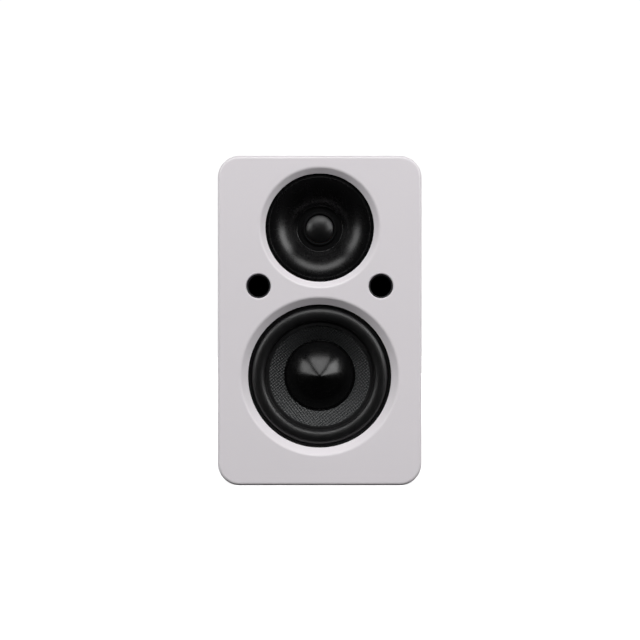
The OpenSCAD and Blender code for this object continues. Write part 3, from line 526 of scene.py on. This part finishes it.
def cap_height(r, height, base_r):
    """Pointed cap: a blunted tip, a nearly straight slope and a foot that turns down."""
    f = (math.sqrt(r * r + tip_blunt) - math.sqrt(tip_blunt)) / base_r
    return cone_height(cap_r) + 0.05 + height * (1 - cap_straight * f - cap_curved * f ** cap_power)


cap_in_r = cap_r - cap_t
cap_out = [(r, cap_height(r, cap_h, cap_r)) for r in (cap_r * (i / 60) ** 1.25 for i in range(61))]
cap_in = [(r, cap_height(r, cap_h - cap_t, cap_in_r)) for r in (cap_in_r * i / 40 for i in range(40, -1, -1))]
cap = make_object("woofer_cap_shell", *turned([cap_out + cap_in], woofer, 192))
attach(finish_piece(cap, "cap_plastic", "woofer_dust_cap"), "woofer_motion")

bead_section = (
    [(bead_r + 0.85, cone_height(bead_r + 0.85) + 0.02)]
    + arc(bead_r, cone_height(bead_r) + 0.05, bead_wire_r, 20, 165, 10)
    + [(bead_r - 0.7, cone_height(bead_r - 0.7) + 0.02)]
)
bead = make_object("woofer_cap_glue", *turned([bead_section], woofer, 192))
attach(finish_piece(bead, "cap_plastic"), "woofer_motion")

spider_r, spider_rim_r, spider_h, spider_t = 33.4, 38.0, -38.0, 0.55
wave_h, waves, wave_steps = 1.1, 4, 96
spider_top = [
    (neck_r + (spider_r - neck_r) * i / wave_steps,
     spider_h + wave_h * math.sin(2 * math.pi * waves * i / wave_steps))
    for i in range(wave_steps + 1)
] + [(spider_rim_r, spider_h)]
spider_section = spider_top + [(r, h - spider_t) for r, h in reversed(spider_top)]
spider = make_object("woofer_spider_cloth", *turned([spider_section], woofer, 144), 60)
finish_piece(spider, "spider_cloth", "woofer_spider")
flex(spider)

braid_r, braid_sides = 0.0006, 10
lead_parts, lead_weights = [], []
for side in (-1, 1):
    route = [(4.5, -48, -44.4), (4.5, -48, -39.4), (4.5, -44, -31.4), (4.5, -32, -32.6), (4.5, -21, -33.6),
             (4.5, -18, cone_height(18) - 2)]
    path = smooth_path([woofer + Vector((side * x, -h, z)) / 1000 for x, z, h in route], 10)
    lead_parts.append(tube(path, braid_r, braid_sides))
    lead_weights += [i / (len(path) - 1) for i in range(len(path)) for _ in range(braid_sides)]
leads = make_object("woofer_lead_braids", *joined(lead_parts), 60)
finish_piece(leads, "copper", "woofer_tinsel_leads", material=lead_braid)
flex(leads)


# ---- tweeter: heights in mm from its seat ----

mouth_r, mouth_h, throat_r, horn_depth, horn_curve = 45.6, -0.8, 20.8, 14.5, 1.9
lip_r, lip_bead = 21.2, 0.45  # where the horn meets the bead round its throat, and the bead's radius
plate_r, plate_h, plate_back = 53.0, -0.6, -4.2
skirt_in_r, skirt_out_r, lug_t = 46.5, 49.5, 3
diaphragm_h, tweeter_back = -16.8, -16.48


def horn_height(r):
    return mouth_h - horn_depth * ((mouth_r - r) / (mouth_r - throat_r)) ** horn_curve


def ear(angle_deg, radius, start_r, width, hole_r, back, thick):
    """Screw lug behind the baffle: points and faces in seat coordinates turned into place."""
    a = math.radians(angle_deg)
    outer = [(start_r, -width / 2)] + arc(radius, 0, width / 2, -90, 90, 16) + [(start_r, width / 2)]
    hole = arc(radius, 0, hole_r, 180, -180, 20)[:-1]
    ring = outer + hole
    points, faces = [], []
    for h in (back, back - thick):
        for r, t in ring:
            x, z = r * math.cos(a) - t * math.sin(a), r * math.sin(a) + t * math.cos(a)
            points.append((tweeter.x + x / 1000, tweeter.y - h / 1000, tweeter.z + z / 1000))
    n = len(ring)
    half_hole_low = [len(outer) + k for k in range(len(hole)) if hole[k][1] <= 0.001]
    half_hole_high = [len(outer) + k for k in range(len(hole)) if hole[k][1] >= -0.001]
    mid = len(outer) // 2
    low = list(range(0, mid + 1)) + sorted(half_hole_low, key=lambda k: -ring[k][0])
    high = list(range(mid, len(outer))) + sorted(half_hole_high, key=lambda k: ring[k][0])
    for loop in (low, high):
        faces.append(loop)
        faces.append([n + v for v in reversed(loop)])
    for i in range(len(outer)):
        j = (i + 1) % len(outer)
        faces.append([i, n + i, n + j, j])
    for k in range(len(hole)):
        j = (k + 1) % len(hole)
        faces.append([len(outer) + k, n + len(outer) + k, n + len(outer) + j, len(outer) + j])
    return points, faces


horn = [(r, horn_height(r)) for r in (mouth_r - (mouth_r - lip_r) * i / 60 for i in range(61))]
waveguide_section = (
    [(plate_r, plate_h - 0.15), (plate_r - 0.15, plate_h)]
    + arc(mouth_r + lip_bead, plate_h, lip_bead, 0, 170, 12)
    + horn
    + arc(throat_r + lip_bead, horn_height(lip_r) - 0.2, lip_bead, 70, 180, 12)
    + [(throat_r, diaphragm_h), (33, diaphragm_h), (33, -9.2), (40.5, -5.6), (skirt_in_r, plate_back),
       (skirt_in_r, tweeter_back - lug_t), (skirt_out_r, tweeter_back - lug_t), (skirt_out_r, plate_back),
       (plate_r, plate_back)]
)
waveguide = make_object("tweeter_waveguide_moulding", *joined(
    [turned([waveguide_section], tweeter, 256)]
    + [ear(a, radius=60, start_r=48.0, width=12, hole_r=2, back=tweeter_back, thick=lug_t)
       for a in (30, 150, 210, 330)]))
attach(finish_piece(waveguide, "horn_plastic", "tweeter_waveguide"), "cabinet")

ring_r, ring_wire_r = 21.1, 0.38
throat_section = arc(ring_r, horn_height(ring_r) + 0.05, ring_wire_r, 0, 360, 24)[:-1][::-1]
throat = make_object("tweeter_throat_ring", *turned([throat_section], tweeter, 256), 80)
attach(finish_piece(throat, "horn_plastic", material=throat_edge), "cabinet")

foot, small_roll, roll_t = 12.9, 1.6, 0.3
roll_centre = foot + small_roll
ring_h = -17.1
roll_section = (
    [(24, ring_h), (24, diaphragm_h)]
    + arc(roll_centre, diaphragm_h, small_roll, 0, 180, 24)
    + [(foot, ring_h), (foot + roll_t, ring_h)]
    + arc(roll_centre, diaphragm_h, small_roll - roll_t, 180, 0, 20)
    + [(roll_centre + small_roll - roll_t, ring_h)]
)
tweeter_roll = make_object("tweeter_surround_roll", *turned([roll_section], tweeter, 160))
finish_piece(tweeter_roll, "dome_rubber", "tweeter_surround")
flex(tweeter_roll)

dome_r, dome_in_r, dome_h, dome_t, foot_h = 12.7, 12.35, 4.0, 0.38, -16.7
dimple_h, dimple_r = 0.16, 0.45
ball_r = (dome_r ** 2 + dome_h ** 2) / (2 * dome_h)
ball_h = foot_h + dome_h - ball_r


def dome_height(r):
    """Sphere with a small pressed dimple in its middle."""
    return ball_h + math.sqrt(ball_r * ball_r - r * r) - dimple_h * math.exp(-((r / dimple_r) ** 2))


dome_out = [(r, dome_height(r)) for r in (dome_r * (i / 40) ** 1.3 for i in range(41))]
dome_in = [(r, ball_h + math.sqrt((ball_r - dome_t) ** 2 - r ** 2))
           for r in (dome_in_r * i / 30 for i in range(30, -1, -1))]
dome = make_object("tweeter_dome_cloth", *turned([dome_out + dome_in], tweeter, 160))
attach(finish_piece(dome, "dome_cloth", "tweeter_dome"), "tweeter_motion")


# ---- reflex ports: each tube has a rounded mouth, and a collar behind the baffle ----

bore_r, tube_r, mouth_bead, collar_r, collar_t = 9.6, 10.95, 0.9, 14.0, 2.5
for side in ("left", "right"):
    low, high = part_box("port_tube_" + side)
    mouth = Vector(((low.x + high.x) / 2, low.y, (low.z + high.z) / 2))
    length = (high.y - low.y) * 1000
    behind = (low.y - joint_y) * 1000
    section = ([(tube_r, -0.12), (tube_r - 0.12, 0.0), (10.6, 0.0)]
               + arc(bore_r + mouth_bead, -mouth_bead, mouth_bead, 90, 180, 10)
               + [(bore_r, 0.6 - length), (bore_r + 0.4, -length), (tube_r, -length),
                  (tube_r, behind - collar_t), (collar_r - 0.2, behind - collar_t),
                  (collar_r, behind - collar_t + 0.2), (collar_r, behind), (tube_r, behind)])
    port = make_object("port_" + side + "_moulding", *turned([section], mouth, 96))
    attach(finish_piece(port, "port_plastic", "port_tube_" + side), "cabinet")


# ---- inside: wadding and wires ----

pad_t, pad_soft, pad_round, pad_dent = 0.014, 0.004, 0.0012, 0.0006
side_pad_top, top_pad_half_w = 0.153, 0.055


def wadding(name, low, high, counts):
    """Felted pad: a soft-edged slab, a little uneven on every face."""
    points, faces, index = [], [], {}
    size = high - low

    def at(i, j, k):
        key = (i, j, k)
        if key not in index:
            f = [n / c for n, c in zip(key, counts)]
            near = [min(v, 1 - v) * s for v, s in zip(f, size)]
            pull = [math.sqrt(max(0.0, 1 - min(1, n / pad_soft))) for n in near]
            p = Vector([l + v * s for l, v, s in zip(low, f, size)])
            middle = (low + high) / 2
            edges = sum(1 for v in pull if v > 0.5)
            if edges > 1:
                for axis in range(3):
                    if pull[axis] > 0.5:
                        p[axis] += pad_round * (1 if p[axis] < middle[axis] else -1)
            dent = pad_dent * (1 + noise.noise(p * 70))
            for axis in range(3):
                p[axis] += dent * (1 if p[axis] < middle[axis] else -1) * (key[axis] in (0, counts[axis]))
            index[key] = len(points)
            points.append(tuple(p))
        return index[key]

    for axis in range(3):
        u, v = [a for a in range(3) if a != axis]
        for end in (0, counts[axis]):
            for i in range(counts[u]):
                for j in range(counts[v]):
                    quad = []
                    for du, dv in ((0, 0), (1, 0), (1, 1), (0, 1)):
                        key = [0, 0, 0]
                        key[axis], key[u], key[v] = end, i + du, j + dv
                        quad.append(at(*key))
                    faces.append(quad if (end == 0) == (axis == 1) else quad[::-1])
    return make_object(name, points, faces, 80)


pads_low, pads_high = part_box("damping_pads")
pad_boxes = (
    ("pad_left", (pads_low.x, pads_low.y, pads_low.z),
     (pads_low.x + pad_t, pads_high.y, side_pad_top), (4, 22, 24)),
    ("pad_right", (pads_high.x - pad_t, pads_low.y, pads_low.z),
     (pads_high.x, pads_high.y, side_pad_top), (4, 22, 24)),
    ("pad_top", (-top_pad_half_w, pads_low.y, pads_high.z - pad_t),
     (top_pad_half_w, pads_high.y, pads_high.z), (26, 22, 4)),
)
for name, low, high, counts in pad_boxes:
    pad = wadding(name, Vector(low), Vector(high), counts)
    pad.modifiers.new("soft", "SUBSURF").render_levels = 1
    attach(finish_piece(pad, "felt", "damping_pads"), "cabinet")

wire_r, wire_sides = 0.0011, 14
wire_routes = (
    ((9.525, 88.45, 55.88), (9.525, 88.45, 48.9), (10, 85, 37), (12, 75, 31), (12, 74, 25.1)),
    ((4.5, -67.36, 41.88), (4.5, -67.36, 35.9), (5, -56, 31), (6, -35, 29), (6, -12, 31), (6, 1, 30),
     (6, 3, 25.1)),
    ((4.5, -96.86, 195), (4.5, -90.9, 194), (5, -83, 184), (6, -62, 173), (8, -36, 158), (10, -28, 120),
     (12, -26, 70), (14, -16, 38), (14, -2, 31), (14, -0.5, 25.1)),
)
for name, side, jacket in (("wires_red", 1, red_jacket), ("wires_black", -1, None)):
    parts = []
    for route in wire_routes:
        path = smooth_path([Vector((side * x, y, z)) / 1000 for x, y, z in route], 8)
        parts.append(tube(path, wire_r, wire_sides))
    wires = make_object(name, *joined(parts), 60)
    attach(finish_piece(wires, "wire_jacket", "hook_up_wires", material=jacket), "cabinet")


# ---- stage, lights and camera ----

def glowing(name, strength):
    m = bpy.data.materials.new(name)
    m.use_nodes = True
    tree = m.node_tree
    tree.nodes.remove(tree.nodes["Principled BSDF"])
    light = tree.nodes.new("ShaderNodeEmission")
    light.inputs["Strength"].default_value = strength
    tree.links.new(light.outputs[0], tree.nodes["Material Output"].inputs["Surface"])
    return m


def unlit(obj):
    """A stage object that the camera sees, and that puts no light on the speaker."""
    obj.visible_diffuse = False
    obj.visible_glossy = False
    obj.visible_transmission = False
    obj.visible_shadow = False


def stage():
    rings, sides, radius = 24, 48, 9.0
    points = [(radius * math.sin(math.pi * i / rings) * math.cos(2 * math.pi * j / sides),
               radius * math.sin(math.pi * i / rings) * math.sin(2 * math.pi * j / sides),
               radius * math.cos(math.pi * i / rings)) for i in range(rings + 1) for j in range(sides)]
    faces = [[i * sides + j, i * sides + (j + 1) % sides,
              (i + 1) * sides + (j + 1) % sides, (i + 1) * sides + j]
             for i in range(rings) for j in range(sides)]
    dome_wall = make_object("backdrop", points, faces)
    dome_wall.data.materials.append(glowing("backdrop_white", 1.05))
    unlit(dome_wall)
    floor = make_object("floor", [(-4, -4, 0), (4, -4, 0), (4, 4, 0), (-4, 4, 0)], [[0, 1, 2, 3]])
    pale = Shader("floor_white", Roughness=0.9)
    pale.bsdf.inputs["Emission Color"].default_value = (1, 1, 1, 1)
    x, y = pale.axis("X"), pale.axis("Y")
    away = pale.math("SQRT", pale.math("ADD", pale.math("MULTIPLY", x, x), pale.math("MULTIPLY", y, y)))
    # The floor glows at 0.75 within 0.25 m of the middle, rising to 1.1 beyond 1 m: painted light that makes
    # up for the lamps' light falling off away from the speaker.
    painted_floor_glow = pale.node("ShaderNodeMapRange")
    pale.put(painted_floor_glow.inputs["Value"], away)
    for key, value in (("From Min", 0.25), ("From Max", 1.0), ("To Min", 0.75), ("To Max", 1.1)):
        painted_floor_glow.inputs[key].default_value = value
    pale.put(pale.bsdf.inputs["Emission Strength"], painted_floor_glow.outputs["Result"])
    pale.set(pale.mixed(pale.between(pale.noise(3), 0, 1), (0.70, 0.70, 0.70), (0.72, 0.72, 0.72)))
    floor.data.materials.append(pale.material)
    unlit(floor)


light_aim = Vector((0, -0.12, 0.15))  # middle of the face


def softbox(name, azimuth, elevation, distance, size, power, glossy=True, diffuse=True):
    """Area light facing light_aim, azimuth degrees off the front and positive towards +X.

    glossy and diffuse say whether it shows in reflections and in diffuse light."""
    data = bpy.data.lights.new(name, "AREA")
    data.shape = "RECTANGLE"
    data.size, data.size_y = size
    data.energy = power
    obj = bpy.data.objects.new(name, data)
    bpy.context.scene.collection.objects.link(obj)
    a, e = math.radians(azimuth), math.radians(elevation)
    direction = Vector((math.sin(a) * math.cos(e), -math.cos(a) * math.cos(e), math.sin(e)))
    obj.location = light_aim + direction * distance
    obj.rotation_mode = "QUATERNION"
    obj.rotation_quaternion = (-direction).to_track_quat("-Z", "Y")
    obj.visible_camera = False
    obj.visible_glossy = glossy
    obj.visible_diffuse = diffuse


stage()
# Diffuse lights shade the white paint, and glossy ones make the highlights on the black parts.
softbox("overhead", 0, 52, 2.2, (2.3, 0.7), 18, diffuse=False)
softbox("side_left", -55, 22, 1.8, (0.6, 1.0), 6.5)
softbox("side_right", 54, 22, 1.8, (0.6, 1.0), 9.5)
softbox("front_fill", 0, 40, 4.5, (2.0, 1.4), 152, glossy=False)
softbox("rear_left", -115, 8, 2.4, (1.2, 1.2), 30, glossy=False)
softbox("rear_right", 115, 8, 2.4, (1.2, 1.2), 30, glossy=False)
softbox("back_fill", 180, 10, 2.4, (1.8, 1.2), 32, glossy=False)

world = bpy.data.worlds.new("room")
bpy.context.scene.world = world
world.use_nodes = True
world.node_tree.nodes["Background"].inputs["Color"].default_value = (1, 1, 1, 1)
world.node_tree.nodes["Background"].inputs["Strength"].default_value = 0.005

camera_x, camera_away, camera_h = 0.0003, 1.177, 0.1500
camera_data = bpy.data.cameras.new("camera")
camera_data.sensor_width = 36
camera_data.lens = 73.1
camera = bpy.data.objects.new("camera", camera_data)
bpy.context.scene.collection.objects.link(camera)
camera.location = (camera_x, front_y - camera_away, camera_h)
camera.rotation_euler = (math.radians(90), 0, 0)
bpy.context.scene.camera = camera
bpy.context.scene.view_settings.view_transform = "Standard"
